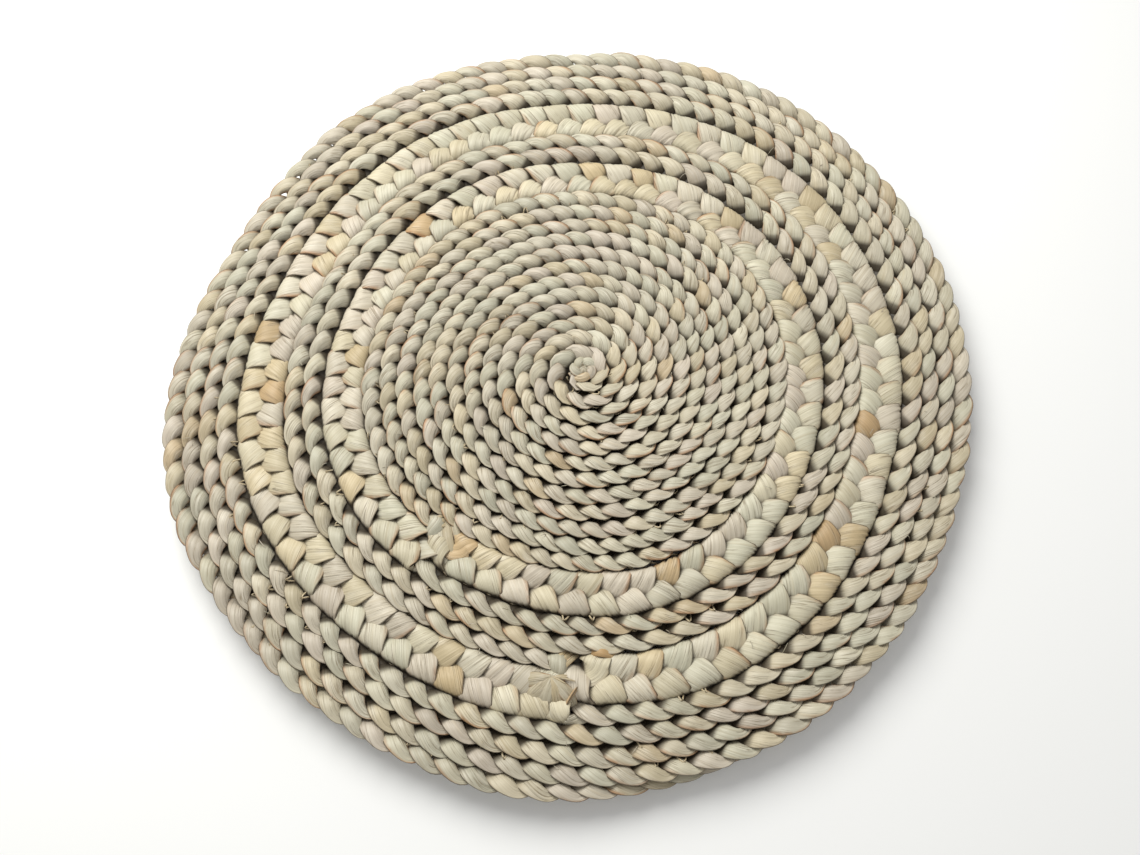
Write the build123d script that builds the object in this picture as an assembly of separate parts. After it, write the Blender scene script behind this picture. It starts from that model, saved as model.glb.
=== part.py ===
from build123d import *
import math
import os

# A round seat pad: one three-strand husk plait, coiled flat from the centre outwards and sewn
# turn to turn. Narrow plait stands on edge, so its strands share the height of the pad. Two wide
# plaits lie flat, so their strands share the width of a ring. Each strand is a plain band that
# holds the strand's average place. All lengths are millimetres, and turns count from the centre.

# Overall section
pad_thickness = 18.0  # height of the narrow plait stood on edge
row_pitch = 8.2  # one turn of narrow plait to the next
centre_drift = -0.07  # each half turn sits this much further towards -X, so the left is looser

# Wide plaits that lie flat, near the top of the pad
inner_wide_width = 21.8
outer_wide_width = 23.6
wide_thickness = 13.0
wide_top = 17.6

# Turns of plait in each stretch, counted along the coil
start_turn = 0.5
centre_end = 12 + 232 / 360
inner_wide_end = centre_end + 1
middle_end = inner_wide_end + 2 + 36 / 360
outer_wide_end = middle_end + 1
border_end = outer_wide_end + 4 + 30 / 360
coil_origin_radius = -3.2  # inner radius of the coil carried back to turn 0

# Clearances, thread and ties
row_gap = 0.6  # between the strands of two neighbouring turns
strand_gap = 0.3  # between two strands of one plait
thread_room = 2.0  # what the thread's layer leaves between turns
thread_width = 0.8
thread_height = 1.2
tie_length = 4.0
tie_inset = 0.7
knot_radius = 3.0
knot_place = (-1.5, 3.6)

# Where each stretch sits outside the coil's own line
middle_offset = inner_wide_width - row_pitch
border_offset = inner_wide_width + outer_wide_width - 2 * row_pitch


def arc_centre(half):
    """Centre along X of one half turn of the coil: two centres in turn, drifting towards -X."""
    side = 1 if half % 2 else -1
    return side * row_pitch / 4 + centre_drift * half


def arc_radius(half):
    """Radius of one half turn of the coil's own line."""
    step = centre_drift if half % 2 else 0
    return coil_origin_radius + row_pitch / 4 + half * row_pitch / 2 + step


def coil_line(offset, start, stop):
    """The coil between two turns, moved outwards by offset, as tangent arcs of half a turn."""
    arcs = []
    for half in range(math.floor(2 * start), math.ceil(2 * stop)):
        first = max(start, half / 2)
        last = min(stop, (half + 1) / 2)
        middle = (arc_centre(half), 0)
        arcs.append(CenterArc(middle, arc_radius(half) + offset, 360 * (first % 1), 360 * (last - first)))
    return arcs


def band(inner, outer, start, stop, low, high):
    """A flat band that follows the coil, from offset inner to outer and height low to high."""
    inside = coil_line(inner, start, stop)
    outside = coil_line(outer, start, stop)
    first_end = Line(inside[0] @ 0, outside[0] @ 0)
    last_end = Line(inside[-1] @ 1, outside[-1] @ 1)
    outline = Wire([*inside, last_end, *outside, first_end])
    return Pos(0, 0, low) * extrude(Face(outline), high - low, dir=(0, 0, 1))


def arc_turns(length, offset, turn):
    """Turns of the coil that a length along it takes at one place."""
    radius = coil_origin_radius + turn * row_pitch + offset
    return length / (2 * math.pi * radius)


def narrow_strands(offset, start, stop):
    """Three strands of plait on edge, one above the other; the middle one leaves room for thread."""
    height = (pad_thickness - 2 * strand_gap) / 3
    strands = []
    for layer in range(3):
        room = thread_room if layer == 1 else row_gap
        low = layer * (height + strand_gap)
        strands.append(band(offset + room / 2, offset + row_pitch - room / 2, start, stop, low, low + height))
    return strands


def wide_strands(offset, width, start, stop):
    """Three strands of plait lying flat, side by side."""
    strand_width = (width - thread_room - 2 * strand_gap) / 3
    strands = []
    for place in range(3):
        inner = offset + thread_room / 2 + place * (strand_width + strand_gap)
        strands.append(band(inner, inner + strand_width, start, stop, wide_top - wide_thickness, wide_top))
    return strands


def thread(offset, start, stop):
    """Sewing thread along the seam on the inner side of a stretch, at half the pad's height."""
    low = (pad_thickness - thread_height) / 2
    return band(offset - thread_width / 2, offset + thread_width / 2, start, stop, low, low + thread_height)


def tie(offset, stop):
    """Wrapped tie that takes up the last few millimetres of a stretch of narrow plait."""
    first = stop - arc_turns(tie_length + strand_gap, offset, stop)
    last = stop - arc_turns(strand_gap, offset, stop)
    inner = offset + thread_room / 2
    outer = offset + row_pitch - thread_room / 2
    return band(inner, outer, first, last, tie_inset, pad_thickness - tie_inset)


def stretch_stop(offset, stop):
    """Where narrow strands end so that a tie fits between them and the next stretch."""
    return stop - arc_turns(tie_length + 2 * strand_gap, offset, stop)


def name_strands(stretch, strands):
    """Node names for the three strands of one stretch."""
    return {f"{stretch}_strand_{letter}": strand for letter, strand in zip("abc", strands)}


def make_pad():
    """Every piece of the pad by node name, in the coil's own frame."""
    end_gap = arc_turns(strand_gap, 0, centre_end)
    nodes = {}
    knot_height = pad_thickness - 2 * tie_inset
    nodes["centre_knot"] = Pos(*knot_place, pad_thickness / 2) * Cylinder(knot_radius, knot_height)

    centre_stop = stretch_stop(0, centre_end)
    nodes |= name_strands("centre", narrow_strands(0, start_turn, centre_stop))
    nodes["centre_thread"] = thread(0, start_turn + 1, centre_end - end_gap)
    nodes["inner_start_binding"] = tie(0, centre_end)

    inner_stop = inner_wide_end - end_gap
    nodes |= name_strands("inner_wide", wide_strands(0, inner_wide_width, centre_end, inner_stop))
    nodes["inner_wide_thread"] = thread(0, centre_end, inner_stop)

    middle_stop = stretch_stop(middle_offset, middle_end)
    nodes |= name_strands("middle", narrow_strands(middle_offset, inner_wide_end, middle_stop))
    nodes["middle_thread"] = thread(middle_offset, inner_wide_end, middle_end - end_gap)
    nodes["outer_start_binding"] = tie(middle_offset, middle_end)

    outer_stop = outer_wide_end - end_gap
    nodes |= name_strands("outer_wide", wide_strands(middle_offset, outer_wide_width, middle_end, outer_stop))
    nodes["outer_wide_thread"] = thread(middle_offset, middle_end, outer_stop)

    border_stop = stretch_stop(border_offset, border_end)
    nodes |= name_strands("border", narrow_strands(border_offset, outer_wide_end, border_stop))
    nodes["border_thread"] = thread(border_offset, outer_wide_end, border_stop)
    nodes["rim_end_binding"] = tie(border_offset, border_end)
    return nodes


# The pad's origin is the centre of its box, on the surface that it rests on.
pad = make_pad()
box = Compound([solid for shape in pad.values() for solid in shape.solids()]).bounding_box()
to_origin = Pos(-box.center().X, -box.center().Y, -box.min.Z)
os.makedirs("parts", exist_ok=True)
for node, shape in pad.items():
    placed = to_origin * shape
    export_step(placed, f"parts/{node}.step")
print("coil centre at", to_origin.position, "size", box.size)
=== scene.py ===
import bpy
import math
import numpy as np
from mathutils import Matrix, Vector


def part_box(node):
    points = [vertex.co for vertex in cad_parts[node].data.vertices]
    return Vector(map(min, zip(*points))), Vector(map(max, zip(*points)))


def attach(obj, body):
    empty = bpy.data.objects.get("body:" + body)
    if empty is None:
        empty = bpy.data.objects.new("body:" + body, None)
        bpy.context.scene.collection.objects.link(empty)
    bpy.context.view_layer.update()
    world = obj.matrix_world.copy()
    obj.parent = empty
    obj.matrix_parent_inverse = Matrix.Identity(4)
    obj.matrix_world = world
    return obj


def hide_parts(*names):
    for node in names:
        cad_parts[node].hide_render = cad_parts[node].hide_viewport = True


# A round seat pad of dried husk: one three-strand plait, coiled anticlockwise from the centre and
# sewn turn to turn. Shapes are worked out in millimetres and placed in metres at the end.
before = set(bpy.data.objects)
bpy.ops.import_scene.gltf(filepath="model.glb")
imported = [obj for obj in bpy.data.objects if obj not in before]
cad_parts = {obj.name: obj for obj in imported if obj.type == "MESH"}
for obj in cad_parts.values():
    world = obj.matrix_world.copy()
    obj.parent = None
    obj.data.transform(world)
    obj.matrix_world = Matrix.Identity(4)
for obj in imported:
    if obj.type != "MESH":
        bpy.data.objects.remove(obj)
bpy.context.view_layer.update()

MM = 0.001
TAU = 2 * math.pi
UP = (0, 0, 1)

# The coil's centre, found from the knot that stands beside it
KNOT_PLACE = (-1.5, 3.6)
knot_low, knot_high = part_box("centre_knot")
CENTRE_X = (knot_low.x + knot_high.x) / 2 / MM - KNOT_PLACE[0]
CENTRE_Y = (knot_low.y + knot_high.y) / 2 / MM - KNOT_PLACE[1]

# ---------------------------------------------------------------- the coil, in turns
ROW_PITCH = 8.2
ORIGIN_RADIUS = -3.2  # radius of the coil carried back to turn 0
START = 0.5
CENTRE_END = 12 + 232 / 360
INNER_WIDE_END = CENTRE_END + 1
MIDDLE_END = INNER_WIDE_END + 2 + 36 / 360
OUTER_WIDE_END = MIDDLE_END + 1
BORDER_END = OUTER_WIDE_END + 4 + 30 / 360
ENDS = [CENTRE_END, INNER_WIDE_END, MIDDLE_END, OUTER_WIDE_END]
STRETCHES = ["centre", "inner_wide", "middle", "outer_wide", "border"]
STOPS = [START, *ENDS, BORDER_END]
COIL_SAMPLES = 60000

# Seeds of the random draws
COIL_SEED, LOBE_SEED, TIE_SEED, STITCH_SEED = 11, 7, 23, 40

# One value for each stretch, in order
OFFSET = [0.9, 10.2, 14.0, 24.3, 29.1]  # plait's middle, outside the coil's own line
FLAT = [0, 1, 0, 1, 0]  # 0 is narrow and stands on edge, 1 is wide and lies flat
SPREAD = [7.6, 8.5, 7.6, 9.4, 7.6]  # how far a strand's middle swings across the plait
DEPTH = [2.0, 3.2, 2.0, 3.3, 2.0]  # how far it swings through the plait
HALF_WIDTH = [4.2, 5.8, 4.2, 6.3, 4.3]
HALF_THICK = [1.6, 2.1, 1.6, 2.2, 1.6]
LAY_LENGTH = [37.0, 39.6, 37.0, 39.6, 37.0]  # one full swing of a strand
HEIGHT = [9.0, 11.1, 9.0, 11.1, 9.0]  # of the plait's middle
SEAM = [-4.1, -11.2, -4.1, -12.2, -4.1]  # where it is sewn, outwards from the plait's middle

PAD_MIDDLE = 9.0  # half the pad's height
RIM_RADIUS = 195
LEAN = math.radians(53)  # how far the narrow plait stands up; its top edge leans outwards
SETTLE = 0.9  # strands lower than this are pressed flat on the surface that the pad lies on
BLEND = 9.0  # half the length over which one stretch turns into the next

# The plait's end, against the rim
TAIL = 0.11  # turns over which it thins out
TAIL_PULL_IN = 5.5
TAIL_DROP = 3.5


def smooth(x):
    x = np.clip(x, 0, 1)
    return x * x * (3 - 2 * x)


def unit(v):
    """Vectors at length 1. One without a length, as past the coil's ends, stays as it is."""
    size = np.linalg.norm(v, axis=-1, keepdims=True)
    return v / np.where(size > 0, size, 1)


def along(values, turn):
    """A value for each stretch, blended where one stretch turns into the next."""
    typical_offset = 15
    result = np.full(turn.shape, float(values[0]))
    for end, before, after in zip(ENDS, values, values[1:]):
        radius = ORIGIN_RADIUS + ROW_PITCH * end + typical_offset
        half = BLEND / (TAU * radius)
        result += (after - before) * smooth((turn - end + half) / (2 * half))
    return result


def waver(rng, x, longest, shortest, count=6):
    """Smooth random wandering between about -1 and 1."""
    total = np.zeros(x.shape)
    for _ in range(count):
        length = longest * (shortest / longest) ** rng.random()
        total += np.sin(TAU * (x / length + rng.random()))
    return total / math.sqrt(count)


def hand_made(angle, radius):
    """The coil's radius as a share of a true round's. It strays most at the rim."""
    rim = (radius / RIM_RADIUS) ** 2
    return (
        1
        + rim * 0.0084 * np.cos(angle - math.radians(298))
        + rim * 0.0064 * np.cos(4 * angle - math.radians(103))
        + rim * 0.0060 * np.cos(5 * angle - math.radians(275))
        + rim * 0.0054 * np.cos(6 * angle - math.radians(39))
        + 0.016 * np.cos(angle - math.radians(147))
        + 0.0096 * np.cos(2 * angle - math.radians(94))
        + 0.0095 * np.cos(3 * angle - math.radians(182))
        + 0.006 * np.cos(4 * angle - math.radians(96))
    )


def tight_lay(radius):
    """Longest full swing of a strand near the centre, where the coil curves tightly."""
    steady = 26 + (radius - 10) * 11 / 60
    innermost = 32 * radius / (radius + 4.6)
    return np.minimum(steady, innermost)


class Coil:
    """The plait's middle line, sampled finely, with everything that varies along it."""

    def __init__(self):
        turn = np.linspace(START - 0.02, BORDER_END + 0.01, COIL_SAMPLES)
        angle = TAU * turn
        rng = np.random.default_rng(COIL_SEED)
        tail = smooth((turn - BORDER_END + TAIL) / TAIL)
        grow = 0.8 + 0.2 * smooth((turn - START) / 0.8)  # the plait starts a little slimmer
        shrink = 1 - 0.62 * tail

        radius = ORIGIN_RADIUS + ROW_PITCH * turn + along(OFFSET, turn)
        rough_length = np.cumsum(radius * np.gradient(angle))
        stray = 0.4 * waver(rng, rough_length, 400, 40)
        radius = radius * hand_made(angle, radius) + stray - TAIL_PULL_IN * tail
        self.turn = turn
        self.middle = np.stack(
            [CENTRE_X + radius * np.cos(angle), CENTRE_Y + radius * np.sin(angle)], axis=1
        )
        step = np.linalg.norm(np.diff(self.middle, axis=0), axis=1)
        self.length = np.concatenate([[0], np.cumsum(step)])
        self.height = along(HEIGHT, turn) - TAIL_DROP * tail
        self.flat = along(FLAT, turn)

        wander = 1 + 0.03 * waver(rng, self.length, 300, 40)
        self.spread = along(SPREAD, turn) * wander * shrink * grow
        self.depth = along(DEPTH, turn) * shrink * grow
        self.width = along(HALF_WIDTH, turn) * (1 - 0.5 * tail) * grow
        self.thick = along(HALF_THICK, turn) * (1 - 0.45 * tail) * grow

        lay = along(LAY_LENGTH, turn)
        lay = np.where(turn < CENTRE_END - 0.02, np.minimum(lay, tight_lay(radius)), lay)
        lay = lay * (1 + 0.05 * waver(rng, self.length, 500, 60))
        mean_lay = 0.5 * (lay[1:] + lay[:-1])
        self.phase = np.concatenate([[0], np.cumsum(TAU * step / mean_lay)])

    def at(self, name, length):
        return np.interp(length, self.length, getattr(self, name))

    def length_at(self, turn):
        return float(np.interp(turn, self.turn, self.length))


coil = Coil()


def plait_frame(length):
    """Middle of the plait at each length, and its axes across and through the plait there."""
    x = np.interp(length, coil.length, coil.middle[:, 0])
    y = np.interp(length, coil.length, coil.middle[:, 1])
    ahead = unit(np.stack([np.gradient(x, length), np.gradient(y, length)], axis=1))
    n = len(length)
    outward = np.stack([ahead[:, 1], -ahead[:, 0], np.zeros(n)], axis=1)
    up = np.tile([0.0, 0.0, 1.0], (n, 1))
    roll = (1 - coil.at("flat", length)) * LEAN
    across = outward * np.cos(roll)[:, None] + up * np.sin(roll)[:, None]
    through = up * np.cos(roll)[:, None] - outward * np.sin(roll)[:, None]
    return np.column_stack([x, y, coil.at("height", length)]), across, through


# ---------------------------------------------------------------- strands
SWING_LAG = math.radians(12)  # a narrow strand swings this much after it passes over
NARROW_BLUFF, WIDE_BLUFF = 0.06, -0.05  # above 0, a strand stays longer at the plait's edges
NARROW_TILT = math.radians(30)
PLEATS = [(1.6, 0.8), (2.9, 1.0), (4.6, 0.5)]  # (pleats across a strand, their share)
PLEAT_VALLEY = 0.42  # smaller is narrower
LOBE_DICE = 16  # random numbers for each lobe: tints, width, pleats, seed, puff and ridge
SPARE_RINGS = 3  # beyond each end, so that slopes are true there


def section(around, power):
    """Points round a unit section. A power above 1 gives it sharper side edges."""
    k = np.arange(around) * TAU / around
    c, s = np.cos(k), np.sin(k)
    return np.sign(c) * np.abs(c) ** power, np.sign(s) * np.abs(s) ** power


def square_to(direction, ahead):
    """A direction made square to the way ahead."""
    return unit(direction - ahead * np.sum(direction * ahead, axis=1)[:, None])


def sweep(path, side, normal, x, y):
    """Rings of points: a section (x sideways, y along the normal) at each point of a path."""
    return (
        path[:, None, :] + x[:, :, None] * side[:, None, :] + y[:, :, None] * normal[:, None, :]
    )


def settle(z):
    """Heights with the lowest pressed flat, so that nothing is below the surface at 0."""
    return np.where(z < SETTLE, SETTLE * np.exp(np.minimum(z - SETTLE, 0) / SETTLE), z)


def pleats(px, within, counts, drifts, shifts):
    """Narrow valleys that run along a strand. Counts, drifts and shifts are dice from 0 to 1."""
    total = np.zeros((len(within), len(px)))
    for i, (count, share) in enumerate(PLEATS):
        folds = count * (0.7 + 0.6 * counts[:, i])
        drift = (drifts[:, i] - 0.5) * 0.7 * (within - 0.5)
        cycle = math.pi * ((px + drift[:, None]) * folds[:, None] + 3 * shifts[:, i][:, None])
        valley = 1 / (1 + (np.sin(cycle) / PLEAT_VALLEY) ** 2)
        total += share * (0.2 + 1.3 * shifts[:, 2 - i][:, None]) * (0.4 - valley)
    return total


def strand_data(points, length, x, seed, dice, px, height):
    """What the husk material needs: place along and across the strand, dice, edges, and painted
    shade that is darkest near the plait's middle height, down in the gaps.
    """
    shape = points.shape[:2]
    run = np.broadcast_to(length[:, None] * MM, shape)
    lay = np.stack([run, x * MM, np.broadcast_to(seed[:, None], shape)], axis=2)
    husk = np.broadcast_to(dice[:, None, :], (*shape, 3))
    edge = np.broadcast_to(np.abs(px), shape)
    away = np.abs(points[:, :, 2] - height[:, None])
    # Painted shade: darkest near the plait's middle height, down in the gaps between rows, where
    # shade falls
    painted_shade = 1 - smooth((away - 0.8) / 3.4)
    return {"lay": lay, "husk": husk, "edge": edge, "painted_shade": painted_shade}


def strand_rings(strand, first, last, step, around):
    """Rings of points of one strand between two turns, with what its material needs."""
    start, stop = coil.length_at(first), coil.length_at(last)
    count = int(round((stop - start) / step)) + 1
    share = np.arange(-SPARE_RINGS, count + SPARE_RINGS) / (count - 1)
    length = start + (stop - start) * share
    middle, across, through = plait_frame(length)
    flat = coil.at("flat", length)
    edgewise = 1 - flat

    # A strand swings from side to side once while it passes over and under twice
    phase = coil.at("phase", length) + TAU * strand / 3
    late = phase - SWING_LAG * edgewise
    bluff = NARROW_BLUFF * edgewise + WIDE_BLUFF * flat
    swing = (np.sin(late) + bluff * np.sin(3 * late)) / (1 - bluff)
    rise = np.sin(2 * phase)
    fall = np.sin(late) ** 2
    across_by = coil.at("spread", length) * swing
    through_by = coil.at("depth", length) * rise
    place = middle + across * across_by[:, None] + through * through_by[:, None]
    ahead = unit(np.gradient(place, axis=0))

    # A wide strand wraps right round the plait's edge, a narrow one only tilts
    wrapped = math.pi / 2 * (1 - np.sin(math.pi / 2 * np.cos(phase)))
    tilt = wrapped * flat + NARROW_TILT * np.sin(late) * edgewise
    normal = square_to(through * np.cos(tilt)[:, None] + across * np.sin(tilt)[:, None], ahead)
    side = np.cross(normal, ahead)

    # A lobe is the part of a strand that shows between two crossings; each has its own dice
    rng = np.random.default_rng([LOBE_SEED, strand, int(first * 1000)])
    turnover = np.where(flat > 0.5, math.pi / 4, 0.0)
    lobe = np.floor((phase + turnover) / math.pi).astype(int)
    within = np.mod(phase + turnover, math.pi) / math.pi  # 0 to 1 along a lobe
    outer_lobe = (lobe % 2 == 0).astype(float)
    lobes = lobe - lobe.min()
    dice = rng.random((lobes.max() + 2, LOBE_DICE))
    pick = dice[lobes]
    form = pick + (dice[lobes + 1] - pick) * smooth((within - 0.8) / 0.2)[:, None]
    breadth, counts, drifts, shifts = form[:, 3], form[:, 4:7], form[:, 7:10], form[:, 10:13]
    puff, ridge_side = form[:, 14], form[:, 15]

    wide = coil.at("width", length) * (1 + 0.07 * waver(rng, length, 120, 25))
    wide = wide * (0.92 + 0.16 * breadth)
    wide = wide * (1 + 0.27 * np.cos(2 * phase - math.radians(50)) * flat)
    wide = wide * (1 - 0.2 * fall * edgewise) * (1 + 0.26 * rise * edgewise)
    usual_thick = coil.at("thick", length)
    thick = usual_thick * (1 - 0.25 * np.cos(phase) ** 2 * flat + 0.15 * fall * edgewise)

    # Section: a flattened round when wide, folded along a ridge when narrow
    px, py = section(around, 1.0)
    squareness = 3.2 - 0.8 * flat.mean()
    face = np.sign(py) * (1 - np.abs(px) ** squareness) ** 0.6
    ridge = 0.55 * (ridge_side[:, None] - 0.5) + 0.3 * edgewise[:, None] * (1 - rise[:, None] * 0.6)
    tent = np.minimum((1 + px) / (1 + ridge), (1 - px) / (1 - ridge))
    fold = 0.35 * puff[:, None] + 0.5 * edgewise[:, None]
    x = wide[:, None] * px
    y = thick[:, None] * (face * (1 - fold) + np.sign(py) * tent**0.9 * fold * 1.1)
    facing = np.clip(1.6 * np.sin(phase), -1, 1)
    camber = 0.26 * facing * flat + 0.32 * np.clip(1.5 * rise, -1, 1) * edgewise
    y = y - (usual_thick * camber)[:, None] * px**2

    # Pleats gather where a wide strand is pinched to turn back
    pinch = smooth((within - 0.5) / 0.3)
    strong = edgewise * 0.10 + flat * outer_lobe * (0.10 + 0.60 * pinch)
    strong = strong + flat * (1 - outer_lobe) * (0.15 + 0.50 * puff)
    y = y + strong[:, None] * pleats(px, within, counts, drifts, shifts) * py

    points = sweep(place, side, normal, x, y)
    points[:, :, 2] = settle(points[:, :, 2])
    data = strand_data(points, length, x, pick[:, 13] * 10, pick[:, :3], px, middle[:, 2])

    # Painted shade where a strand tucks under its neighbour, with less painted shade on the last
    # turn's open side
    narrow_tuck_shade = 1 - smooth((np.abs(np.sin(late)) - 0.3) / 0.3)
    wide_tuck_shade = 1 - smooth(np.abs(rise) / 0.3)
    tuck_shade = edgewise * narrow_tuck_shade + flat * wide_tuck_shade * 0.8
    last_turn = smooth((coil.at("turn", length) - BORDER_END + 1.02) / 0.02)
    eased_painted_shade = data["painted_shade"] * (1 - 0.75 * last_turn[:, None])
    data["painted_shade"] = np.maximum(eased_painted_shade, 0.8 * (tuck_shade * (1 - 0.5 * last_turn))[:, None])

    keep = slice(SPARE_RINGS, SPARE_RINGS + count)
    return points[keep], {key: values[keep] for key, values in data.items()}


def tube_mesh(name, tubes):
    """A mesh of closed tubes. Each tube is (rings of points, its attributes by name)."""
    verts, loops, sizes, attributes, base = [], [], [], {}, 0
    for rings, data in tubes:
        count, around = rings.shape[:2]
        i = base + np.arange(count - 1)[:, None] * around
        j = np.arange(around)[None, :]
        following = (j + 1) % around
        corners = [i + j, i + following, i + around + following, i + around + j]
        quads = np.stack(corners, axis=-1)
        tip, last = base + count * around, base + (count - 1) * around
        start_cap = np.stack([np.full(around, tip), base + following[0], base + j[0]], axis=-1)
        end_cap = np.stack([np.full(around, tip + 1), last + j[0], last + following[0]], axis=-1)
        verts += [rings.reshape(-1, 3), rings[:1].mean(axis=1), rings[-1:].mean(axis=1)]
        loops += [quads.ravel(), start_cap.ravel(), end_cap.ravel()]
        sizes += [np.full((count - 1) * around, 4), np.full(2 * around, 3)]
        for key, values in data.items():
            rows = values.reshape(count * around, -1)
            attributes.setdefault(key, []).append(np.concatenate([rows, rows[:1], rows[-1:]]))
        base += count * around + 2
    verts, loops, sizes = np.concatenate(verts), np.concatenate(loops), np.concatenate(sizes)
    mesh = bpy.data.meshes.new(name)
    mesh.vertices.add(len(verts))
    mesh.vertices.foreach_set("co", (verts * MM).astype(np.float32).ravel())
    mesh.loops.add(len(loops))
    mesh.loops.foreach_set("vertex_index", loops.astype(np.int32))
    mesh.polygons.add(len(sizes))
    starts = np.concatenate([[0], np.cumsum(sizes)[:-1]])
    mesh.polygons.foreach_set("loop_start", starts.astype(np.int32))
    mesh.polygons.foreach_set("use_smooth", np.ones(len(sizes), bool))
    mesh.update(calc_edges=True)
    for key, parts in attributes.items():
        values = np.concatenate(parts).astype(np.float32)
        kind, field = ("FLOAT_VECTOR", "vector") if values.shape[1] == 3 else ("FLOAT", "value")
        mesh.attributes.new(key, kind, "POINT").data.foreach_set(field, values.ravel())
    return mesh


def leaf(path, width, thick, facing, rng, around=14, power=1.25, tint=None):
    """A strip of husk along a path, with half widths and half thicknesses along it."""
    path = np.asarray(path, float)
    ahead = unit(np.gradient(path, axis=0))
    normal = square_to(np.broadcast_to(np.asarray(facing, float), path.shape), ahead)
    side = np.cross(normal, ahead)
    px, py = section(around, power)
    width = np.broadcast_to(width, len(path))
    thick = np.broadcast_to(thick, len(path))
    x, y = width[:, None] * px, thick[:, None] * py
    y = y + 0.12 * thick[:, None] * np.sin(x * 3.1 + rng.random() * 6) * np.sign(py)
    points = sweep(path, side, normal, x, y)
    step = np.linalg.norm(np.diff(path, axis=0), axis=1)
    length = np.concatenate([[0], np.cumsum(step)])
    dice = rng.random(3) if tint is None else np.array([tint, rng.random(), rng.random()])
    rows = np.tile(dice, (len(path), 1))
    run = length + 1000 * rng.random()
    seed = np.full(len(path), 10 * rng.random())
    data = strand_data(points, run, x, seed, rows, px, np.full(len(path), PAD_MIDDLE))
    # Painted shade at half strength on these strips
    data["painted_shade"] = data["painted_shade"] * 0.5
    return points, data


def bezier(points, count):
    """A smooth line through the first and last control point, near the others."""
    points = np.asarray(points, float)
    t = np.linspace(0, 1, count)[:, None]
    n = len(points) - 1
    weights = [math.comb(n, i) * t**i * (1 - t) ** (n - i) for i in range(n + 1)]
    return sum(w * p for w, p in zip(weights, points))


# ---------------------------------------------------------------- materials
class Nodes:
    """A new material, with short ways to add and join its nodes."""

    def __init__(self, name):
        self.material = bpy.data.materials.new(name)
        self.material.use_nodes = True
        self.tree = self.material.node_tree
        self.tree.nodes.clear()

    def add(self, kind, **settings):
        node = self.tree.nodes.new(kind)
        for key, value in settings.items():
            setattr(node, key, value)
        return node

    def link(self, source, target):
        if isinstance(source, (int, float)):
            target.default_value = source
        else:
            self.tree.links.new(source, target)

    def math(self, operation, a, b=0.0):
        node = self.add("ShaderNodeMath", operation=operation)
        self.link(a, node.inputs[0])
        self.link(b, node.inputs[1])
        return node.outputs[0]

    def ranged(self, value, low, high, to_low=0.0, to_high=1.0):
        node = self.add("ShaderNodeMapRange", interpolation_type="SMOOTHSTEP")
        self.link(value, node.inputs["Value"])
        numbers = {"From Min": low, "From Max": high, "To Min": to_low, "To Max": to_high}
        for key, number in numbers.items():
            node.inputs[key].default_value = number
        return node.outputs["Result"]

    def attribute(self, name, output):
        return self.add("ShaderNodeAttribute", attribute_name=name).outputs[output]

    def split(self, vector):
        node = self.add("ShaderNodeSeparateXYZ")
        self.link(vector, node.inputs[0])
        return node.outputs

    def noise(self, vector, scale, detail, roughness):
        node = self.add("ShaderNodeTexNoise")
        self.link(vector, node.inputs["Vector"])
        node.inputs["Scale"].default_value = scale
        node.inputs["Detail"].default_value = detail
        node.inputs["Roughness"].default_value = roughness
        return node.outputs[0]

    def ramp(self, value, stops):
        node = self.add("ShaderNodeValToRGB")
        self.link(value, node.inputs[0])
        elements = node.color_ramp.elements
        while len(elements) < len(stops):
            elements.new(0.5)
        for element, (position, colour) in zip(elements, stops):
            element.position = position
            element.color = (*colour, 1)
        return node.outputs["Color"]

    def mix(self, share, a, b, blend="MIX"):
        node = self.add("ShaderNodeMix", data_type="RGBA", blend_type=blend)
        self.link(share, node.inputs["Factor"])
        for source, target in ((a, node.inputs[6]), (b, node.inputs[7])):
            if isinstance(source, tuple):
                target.default_value = (*source, 1)
            else:
                self.link(source, target)
        return node.outputs[2]

    def bump(self, height, strength, distance):
        node = self.add("ShaderNodeBump")
        node.inputs["Strength"].default_value = strength
        node.inputs["Distance"].default_value = distance
        self.link(height, node.inputs["Height"])
        return node.outputs[0]

    def output(self, shader):
        node = self.add("ShaderNodeOutputMaterial")
        self.link(shader.outputs[0], node.inputs[0])
        return self.material


def linear(red, green, blue):
    """A colour given as 0 to 255, as it looks, in the linear values that shaders take."""
    shares = (red / 255, green / 255, blue / 255)
    return tuple(c / 12.92 if c <= 0.04045 else ((c + 0.055) / 1.055) ** 2.4 for c in shares)


STREAK_COLOUR = linear(170, 150, 112)
PALE_COLOUR = linear(222, 214, 196)
TAN_EDGE_COLOUR = linear(168, 112, 58)
# Painted shade for the dark line along strand edges
EDGE_SHADE_COLOUR = linear(58, 44, 25)
# Painted shade for crease lines
CREASE_SHADE_COLOUR = linear(112, 92, 60)
THREAD_DARK, THREAD_PALE = linear(176, 156, 118), linear(222, 210, 182)
# Painted shade for the grooves between the thread's plies
THREAD_GROOVE_SHADE = linear(128, 104, 66)


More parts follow.
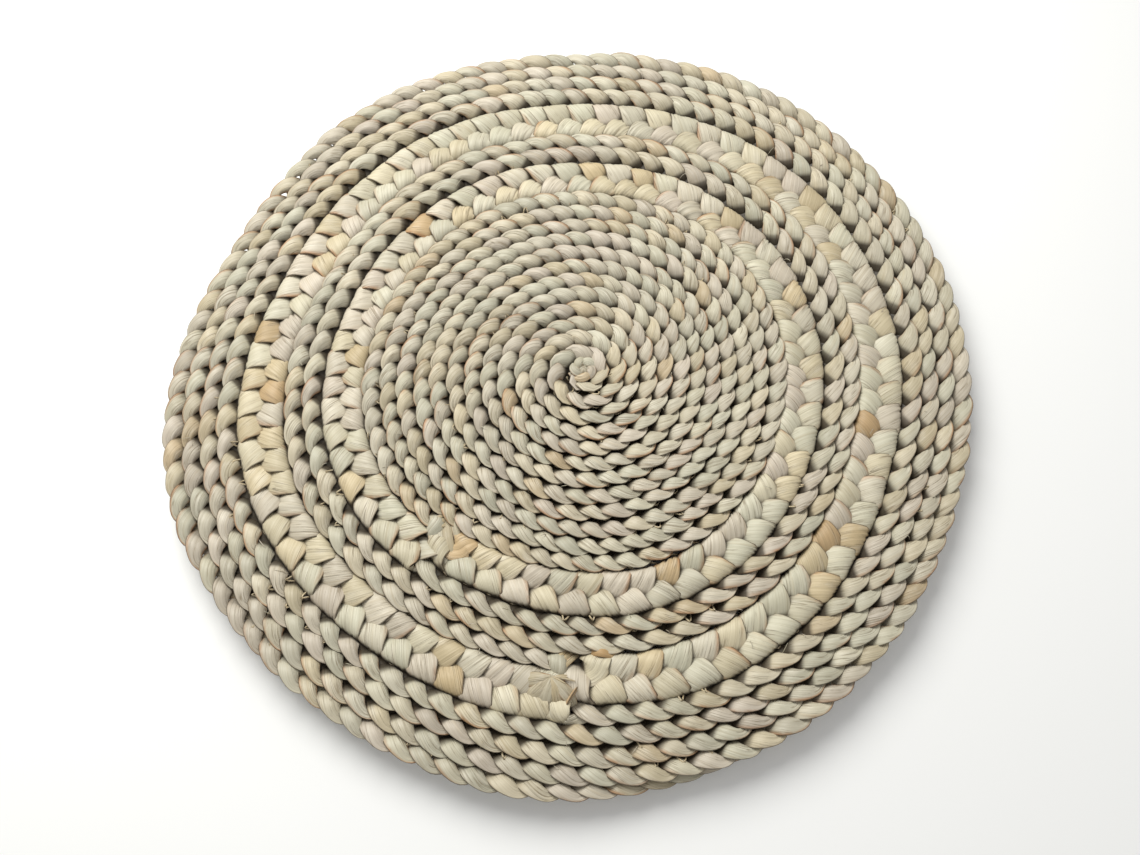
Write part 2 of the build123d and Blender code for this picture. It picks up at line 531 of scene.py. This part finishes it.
def husk_material(name, straw, painted_shade_colour):
    """Dry husk: fibres and streaks along the strand, tints from strand to strand, tan edges, and
    painted shade in the gaps, where strands tuck under, along strand edges and in crease lines.
    """
    n = Nodes(name)
    run, side, seed = n.split(n.attribute("lay", "Vector"))
    tint, light, tan = n.split(n.attribute("husk", "Vector"))
    painted_shade = n.attribute("painted_shade", "Fac")
    edge = n.attribute("edge", "Fac")

    def stretched(run_scale, side_scale):
        combine = n.add("ShaderNodeCombineXYZ")
        n.link(n.math("MULTIPLY", run, run_scale), combine.inputs[0])
        n.link(n.math("MULTIPLY", side, side_scale), combine.inputs[1])
        n.link(n.math("MULTIPLY", seed, 3.7), combine.inputs[2])
        return combine.outputs[0]

    # Scales are per metre, along and across the strand
    fibres = n.noise(stretched(50, 2300), 1.0, 3.0, 0.6)
    streaks = n.noise(stretched(28, 620), 1.0, 2.0, 0.5)
    blotches = n.noise(stretched(110, 190), 1.0, 4.0, 0.6)

    base = n.ramp(tint, [(place, linear(*colour)) for place, colour in straw])
    streaked = n.mix(n.ranged(streaks, 0.54, 0.76, 0.0, 0.3), base, STREAK_COLOUR)
    pale = n.mix(n.ranged(blotches, 0.5, 0.75, 0.0, 0.45), streaked, PALE_COLOUR)
    edged = n.math("MULTIPLY", n.ranged(edge, 0.62, 0.97), n.ranged(tan, 0.45, 0.97, 0.08, 0.8))
    edged = n.math("MULTIPLY", edged, n.ranged(blotches, 0.35, 0.6))
    tinted = n.mix(edged, pale, TAN_EDGE_COLOUR)
    fibrous = n.ramp(fibres, [(0.28, (0.78, 0.76, 0.72)), (0.58, (1.0, 1.0, 1.0))])
    lit = n.mix(1.0, tinted, fibrous, "MULTIPLY")
    lightness = n.ramp(light, [(0.0, (0.84, 0.84, 0.83)), (1.0, (1.04, 1.04, 1.04))])
    lit = n.mix(1.0, lit, lightness, "MULTIPLY")
    # Painted shade: a dark line along the last tenth of each strand's width, where neighbouring
    # lobes meet
    edge_shaded = n.mix(n.ranged(edge, 0.9, 1.0, 0.0, 0.85), lit, EDGE_SHADE_COLOUR)
    # Painted shade in thin crease lines along some streaks; the bump also presses them in
    line = n.math("ABSOLUTE", n.math("SUBTRACT", streaks, 0.5))
    some_places = n.ranged(blotches, 0.42, 0.6, 0.0, 0.6)
    crease = n.math("MULTIPLY", n.ranged(line, 0.0, 0.03, 1.0, 0.0), some_places)
    crease_shaded = n.mix(crease, edge_shaded, CREASE_SHADE_COLOUR)
    # Painted shade: darkest near the plait's middle height and where strands tuck under
    shadowed = n.mix(n.ranged(painted_shade, 0.1, 0.9, 0.0, 0.96), crease_shaded, linear(*painted_shade_colour))

    shader = n.add("ShaderNodeBsdfPrincipled")
    n.link(shadowed, shader.inputs["Base Color"])
    n.link(n.ranged(fibres, 0.3, 0.7, 0.6, 0.42), shader.inputs["Roughness"])
    shader.inputs["Specular IOR Level"].default_value = 0.45
    shader.inputs["Sheen Weight"].default_value = 0.05
    height = n.math("ADD", n.math("MULTIPLY", fibres, 0.6), n.math("MULTIPLY", streaks, 1.0))
    height = n.math("ADD", height, n.math("MULTIPLY", blotches, 0.5))
    height = n.math("SUBTRACT", height, n.math("MULTIPLY", crease, 0.8))
    n.link(n.bump(height, 0.75, 0.0004), shader.inputs["Normal"])
    return n.output(shader)


def thread_material():
    """Matt twisted plant thread: fine slanting plies along the tube, with painted shade in the
    grooves between them.
    """
    n = Nodes("sewing_thread")
    run, side, _ = n.split(n.attribute("lay", "Vector"))
    slant = n.math("ADD", n.math("MULTIPLY", run, 5200.0), n.math("MULTIPLY", side, 9000.0))
    ply = n.math("SINE", slant)
    worn = n.noise(n.attribute("lay", "Vector"), 900.0, 3.0, 0.6)
    colour = n.ramp(worn, [(0.3, THREAD_DARK), (0.7, THREAD_PALE)])
    # Painted shade in the grooves between plies
    twisted = n.mix(n.ranged(ply, -1.0, 1.0, 0.0, 0.35), colour, THREAD_GROOVE_SHADE)
    shader = n.add("ShaderNodeBsdfPrincipled")
    n.link(twisted, shader.inputs["Base Color"])
    shader.inputs["Roughness"].default_value = 0.8
    n.link(n.bump(ply, 0.6, 0.0001), shader.inputs["Normal"])
    return n.output(shader)


def plain(name, colour, roughness):
    """One colour all over."""
    n = Nodes(name)
    shader = n.add("ShaderNodeBsdfPrincipled")
    shader.inputs["Base Color"].default_value = (*colour, 1)
    shader.inputs["Roughness"].default_value = roughness
    return n.output(shader)


# Tints of husk, as (place on the tint dice, colour)
NARROW_STRAW = [
    (0.0, (191, 180, 164)),
    (0.24, (195, 186, 167)),
    (0.45, (189, 185, 165)),
    (0.62, (195, 189, 167)),
    (0.80, (198, 188, 165)),
    (0.96, (192, 180, 152)),
    (1.0, (188, 167, 135)),
]
WIDE_STRAW = [
    (0.0, (201, 189, 172)),
    (0.25, (205, 196, 176)),
    (0.45, (200, 196, 174)),
    (0.66, (207, 198, 172)),
    (0.86, (205, 192, 161)),
    (0.96, (199, 179, 141)),
    (1.0, (191, 161, 120)),
]
TIE_STRAW = [(0.0, (194, 186, 164)), (0.5, (190, 172, 136)), (1.0, (180, 146, 100))]
MATERIALS = {
    "narrow_husk": husk_material("narrow_husk", NARROW_STRAW, (44, 33, 17)),
    "wide_husk": husk_material("wide_husk", WIDE_STRAW, (50, 37, 19)),
    "husk_tie": husk_material("husk_tie", TIE_STRAW, (74, 54, 30)),
    "sewing_thread": thread_material(),
}


def place_piece(name, tubes, node, slot, material=None):
    """A piece made of closed tubes, in place of the CAD node of that name if there is one."""
    mesh = tube_mesh(name, tubes)
    mesh.materials.append(MATERIALS[material or slot])
    piece = bpy.data.objects.new(name, mesh)
    bpy.context.scene.collection.objects.link(piece)
    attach(piece, "root")
    if node:
        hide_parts(node)
    return piece


# For each stretch: length of a ring along the strand, points round a ring, and slot
MESHING = {
    "centre": (1.3, 24, "narrow_husk"),
    "inner_wide": (0.9, 44, "wide_husk"),
    "middle": (1.1, 24, "narrow_husk"),
    "outer_wide": (1.0, 48, "wide_husk"),
    "border": (1.3, 24, "narrow_husk"),
}
for index, stretch in enumerate(STRETCHES):
    step, around, slot = MESHING[stretch]
    for strand, letter in enumerate("abc"):
        name = f"{stretch}_strand_{letter}"
        tube = strand_rings(strand, STOPS[index], STOPS[index + 1], step, around)
        piece = place_piece(f"{name}_husk", [tube], name, slot)

# ---------------------------------------------------------------- ties
LOWEST, HIGHEST = 0.7, 18.4  # how far down and up a tie reaches


def wraps(turn, loops, pitch, half_across, half_through, rng, half_width=1.3, thick=0.55):
    """A strip of husk wound round the plait."""
    around = np.linspace(0, TAU * loops, int(40 * loops))
    cos, sin = np.cos(around), np.sin(around)
    length = coil.length_at(turn) + pitch * (around / TAU - loops / 2)
    middle, across, through = plait_frame(length)
    path = middle + across * (half_across * cos)[:, None] + through * (half_through * sin)[:, None]
    path[:, 2] = np.clip(path[:, 2], LOWEST, HIGHEST)
    facing = across * (cos / half_across)[:, None] + through * (sin / half_through)[:, None]
    ends = smooth(np.minimum(around, TAU * loops - around) / 0.8)
    width = half_width * (0.4 + 0.6 * ends)
    return leaf(path, width, thick, facing, rng, tint=rng.random() * 0.6)


def strip_on_top(turn, places, width, rng, lift, tint=None, thick=0.9, skew=1.0):
    """A leaf on the plait, near places given as (ahead, outwards, up) from a point of the coil."""
    length = coil.length_at(turn)
    points = []
    for ahead_by, out_by, up_by in places:
        middle, _, _ = plait_frame(length + ahead_by + np.array([-0.5, 0.0, 0.5]))
        ahead = unit(middle[2:3, :2] - middle[0:1, :2])[0]
        x, y = middle[1][0] + ahead[1] * out_by, middle[1][1] - ahead[0] * out_by
        points.append([x, y, lift + up_by])
    path = bezier(points, 22)
    share = np.linspace(0, 1, len(path))
    shape = 0.25 + 0.75 * np.sin(math.pi * np.clip(share, 0.04, 0.96) ** skew) ** 0.6
    return leaf(path, width * shape, thick * shape, UP, rng, tint=tint)


rng = np.random.default_rng(TIE_SEED)

# Where the first wide plait starts: four husk ends over the winding,
# as (outwards, how far it turns outwards, half width, tint)
inner_tie = [wraps(CENTRE_END - 0.008, 3.0, 2.4, 7.6, 4.2, rng)]
INNER_ENDS = [
    (-5.5, 1.5, 2.0, 0.1),
    (-1.5, 2.5, 2.4, 0.3),
    (2.5, 3.0, 2.4, 0.0),
    (6.5, 2.0, 2.2, 0.15),
]
for out_by, turn_out, width, tint in INNER_ENDS:
    places = [
        (-11, out_by - turn_out, -3.5),
        (-5, out_by, 0.6),
        (4, out_by + turn_out, 1.2),
        (12, out_by + 2 * turn_out, -3),
    ]
    inner_tie.append(strip_on_top(CENTRE_END, places, width, rng, 14.6, tint))
place_piece("inner_start_tie", inner_tie, "inner_start_binding", "husk_tie")

# Where the second wide plait starts: a tan leaf over the winding
outer_tie = [wraps(MIDDLE_END - 0.004, 2.6, 2.3, 7.6, 4.2, rng)]
places = [(2, -9, -3), (7, -12, 1.5), (15, -11.5, 1.5), (22, -9, -3)]
outer_tie.append(strip_on_top(MIDDLE_END, places, 2.2, rng, 16.0, 0.95))

# Where it ends: husk ends gathered at one point and fanned out from it, with a few thin shreds
FAN_AHEAD, FAN_OUT = -11, -7
FAN_LEAVES = 5
SHREDS = 5
for i in range(FAN_LEAVES):
    angle = math.radians(-80 + 34 * i + 8 * rng.random())
    reach = 12.0 + 3 * rng.random()
    out, ahead = math.cos(angle), math.sin(angle)
    places = [
        (FAN_AHEAD, FAN_OUT, 1.2),
        (FAN_AHEAD + 0.5 * reach * ahead, FAN_OUT + 0.5 * reach * out, 2.6),
        (FAN_AHEAD + reach * ahead, FAN_OUT + reach * out, -3.6),
    ]
    tint = 0.5 * rng.random()
    outer_tie.append(strip_on_top(OUTER_WIDE_END, places, 3.5, rng, 15.8, tint, 1.3, 1.5))
for _ in range(SHREDS):
    rng.random()  # a draw that nothing uses; it keeps the later draws as they are
    reach = 4 + 4 * rng.random()
    across_by = reach * (0.9 * rng.random() - 0.6)
    places = [
        (-10, FAN_OUT, 1.4),
        (-10 + 0.5 * reach, FAN_OUT + 0.6 * across_by, 2.3),
        (-10 + reach, FAN_OUT + across_by, 1.5),
    ]
    outer_tie.append(strip_on_top(OUTER_WIDE_END, places, 0.5, rng, 16.0, 0.4, 0.3))
place_piece("outer_start_tie", outer_tie, "outer_start_binding", "husk_tie")

rim_tie = [wraps(BORDER_END - 0.006, 4.0, 1.7, 4.4, 2.6, rng, 0.9, 0.45)]
place_piece("rim_end_tie", rim_tie, "rim_end_binding", "husk_tie")

# ---------------------------------------------------------------- knot in the middle
# Five leaves fold in over a stem, on top and underneath, as (start, sweep, radius, width, tint)
KNOT_LEAVES = [
    (150, 105, 5.0, 2.6, 0.35),
    (80, 100, 4.6, 2.5, 0.6),
    (8, 105, 5.0, 2.6, 0.45),
    (-62, 100, 4.8, 2.5, 0.05),
    (-138, 110, 5.6, 2.5, 0.99),
]
KNOT_RINGS = 26
STEM_X, STEM_Y = CENTRE_X + 0.3, CENTRE_Y + 2.6
knot = []
share = np.linspace(0, 1, KNOT_RINGS)
for side in (1, -1):
    for start, swept, radius, width, tint in KNOT_LEAVES:
        angle = np.radians(np.linspace(start, start + swept, KNOT_RINGS))
        away = radius * (1.1 - 0.75 * share**1.5)
        rise = 13.4 + 2.4 * np.sin(math.pi * (0.1 + 0.75 * share)) - 1.6 * share
        height = PAD_MIDDLE + side * (rise - PAD_MIDDLE)
        x, y = STEM_X + away * np.cos(angle), STEM_Y + away * np.sin(angle)
        path = np.stack([x, y, height], axis=1)
        shape = 0.3 + 0.7 * np.sin(math.pi * np.clip(share, 0.05, 0.95)) ** 0.6
        facing = (0, 0, side)
        knot.append(leaf(path[::side], width * shape, 1.3 * shape, facing, rng, 20, tint=tint))
stem = np.array([[STEM_X, STEM_Y, z] for z in np.linspace(3.2, 14.8, 14)])
knot.append(leaf(stem, 3.2, 3.0, (1, 0, 0), rng, power=1.0, tint=0.4))
place_piece("centre_knot_husk", knot, "centre_knot", "husk_tie", "narrow_husk")

# ---------------------------------------------------------------- sewing thread
SEAM_GAP = 0.01  # turns left free at each end of a stretch
STITCH_STEP = 0.9
STITCH_PACE = 13.0  # from one stitch to the next
STITCH_SWING = 0.8  # to each side of the seam
THREAD_RADIUS = 0.42
SHOWN_SHARE = 0.07  # of the stitches, that come up to the top
SHOWN_REACH, HIDDEN_REACH = 7.0, 2.4  # up from the pad's middle
UNDER_REACH = 6.6  # down from the pad's middle


def stitches(first, last, seam, rng):
    """Thread that zigzags through a seam; now and then a stitch shows on top."""
    length = np.arange(coil.length_at(first), coil.length_at(last), STITCH_STEP)
    middle, _, _ = plait_frame(length)
    pace = STITCH_PACE * (1 + 0.15 * waver(rng, length, 90, 30))
    cycle = np.cumsum(TAU * STITCH_STEP / pace)
    number = np.floor(cycle / TAU).astype(int)
    shown = rng.random(number.max() + 2)
    reach = np.where(shown < SHOWN_SHARE, SHOWN_REACH, HIDDEN_REACH)[number]
    up = np.cos(cycle)
    height = PAD_MIDDLE + np.where(up > 0, reach, UNDER_REACH) * up
    lean = (1 - coil.at("flat", length)) * (height - PAD_MIDDLE) / math.tan(LEAN)
    outward = seam + lean + STITCH_SWING * np.sin(cycle)
    ahead = unit(np.gradient(middle[:, :2], axis=0))
    x, y = middle[:, 0] + ahead[:, 1] * outward, middle[:, 1] - ahead[:, 0] * outward
    path = np.column_stack([x, y, height])
    facing = (0.2, 0.1, 1)
    return leaf(path, THREAD_RADIUS, THREAD_RADIUS, facing, rng, around=6, power=1.0)


for index, stretch in enumerate(STRETCHES):
    first = START + 1 if stretch == "centre" else STOPS[index] + SEAM_GAP
    last = STOPS[index + 1] - SEAM_GAP
    tube = stitches(first, last, SEAM[index], np.random.default_rng(STITCH_SEED + index))
    place_piece(f"{stretch}_stitches", [tube], f"{stretch}_thread", "sewing_thread")

# ---------------------------------------------------------------- loose fibres
FIBRE_COUNT = 110
FIBRE_HALF_WIDTH, FIBRE_HALF_THICK = 0.16, 0.13
fibres = []
for _ in range(FIBRE_COUNT):
    turn = math.sqrt(rng.uniform(START**2 + 4, BORDER_END**2 - 4))
    rng.random()  # a draw that nothing uses; it keeps the later draws as they are
    out_by = rng.uniform(-2.5, 5)
    turn_to, reach = rng.uniform(0, TAU), rng.uniform(2.5, 6.5)
    out, ahead = math.sin(turn_to), math.cos(turn_to)
    places = [
        (0, out_by, -3.5),
        (0.5 * reach * ahead, out_by + 0.5 * reach * out, rng.uniform(0.5, 2.6)),
        (reach * ahead, out_by + reach * out, rng.uniform(-1.5, 1.6)),
    ]
    tint = rng.random() * 0.9
    fibre = strip_on_top(turn, places, FIBRE_HALF_WIDTH, rng, 16.4, tint, FIBRE_HALF_THICK)
    fibres.append(fibre)
place_piece("loose_fibres", fibres, None, "narrow_husk")

# ---------------------------------------------------------------- floor, light and camera
FLOOR_HALF = 6
floor_mesh = bpy.data.meshes.new("floor")
corners = [(x * FLOOR_HALF, y * FLOOR_HALF, 0) for x, y in ((-1, -1), (1, -1), (1, 1), (-1, 1))]
floor_mesh.from_pydata(corners, [], [(0, 1, 2, 3)])
floor_mesh.materials.append(plain("floor_paper", (0.86, 0.86, 0.85), 0.9))
floor = bpy.data.objects.new("floor", floor_mesh)
bpy.context.scene.collection.objects.link(floor)


def area_light(name, place, target, size, power, colour):
    light = bpy.data.lights.new(name, "AREA")
    light.shape = "DISK"
    light.size = size
    light.energy = power
    light.color = colour
    lamp = bpy.data.objects.new(name, light)
    lamp.location = place
    lamp.rotation_euler = (Vector(target) - Vector(place)).to_track_quat("-Z", "Y").to_euler()
    lamp.visible_camera = False
    bpy.context.scene.collection.objects.link(lamp)


area_light("key", (-0.3, 0.45, 0.7), (0, 0.05, 0), 0.7, 9.3, (1.0, 1.0, 0.965))
area_light("fill", (0.9, -1.0, 1.6), (0, 0, 0), 1.6, 1.5, (0.96, 0.98, 1.0))
world = bpy.data.worlds.new("studio")
world.use_nodes = True
world.node_tree.nodes["Background"].inputs["Color"].default_value = (1, 1, 1, 1)
world.node_tree.nodes["Background"].inputs["Strength"].default_value = 0.5
bpy.context.scene.world = world

CAMERA_PITCH = 69.66  # degrees below the horizon
camera_data = bpy.data.cameras.new("camera")
camera_data.sensor_width = 36
camera_data.lens = 31.6
camera_data.clip_start = 0.01
camera = bpy.data.objects.new("camera", camera_data)
camera.location = (-0.0017, -0.1984, 0.477)
camera.rotation_euler = (math.radians(90 - CAMERA_PITCH), 0, 0)
bpy.context.scene.collection.objects.link(camera)
bpy.context.scene.camera = camera
bpy.context.scene.view_settings.view_transform = "Standard"
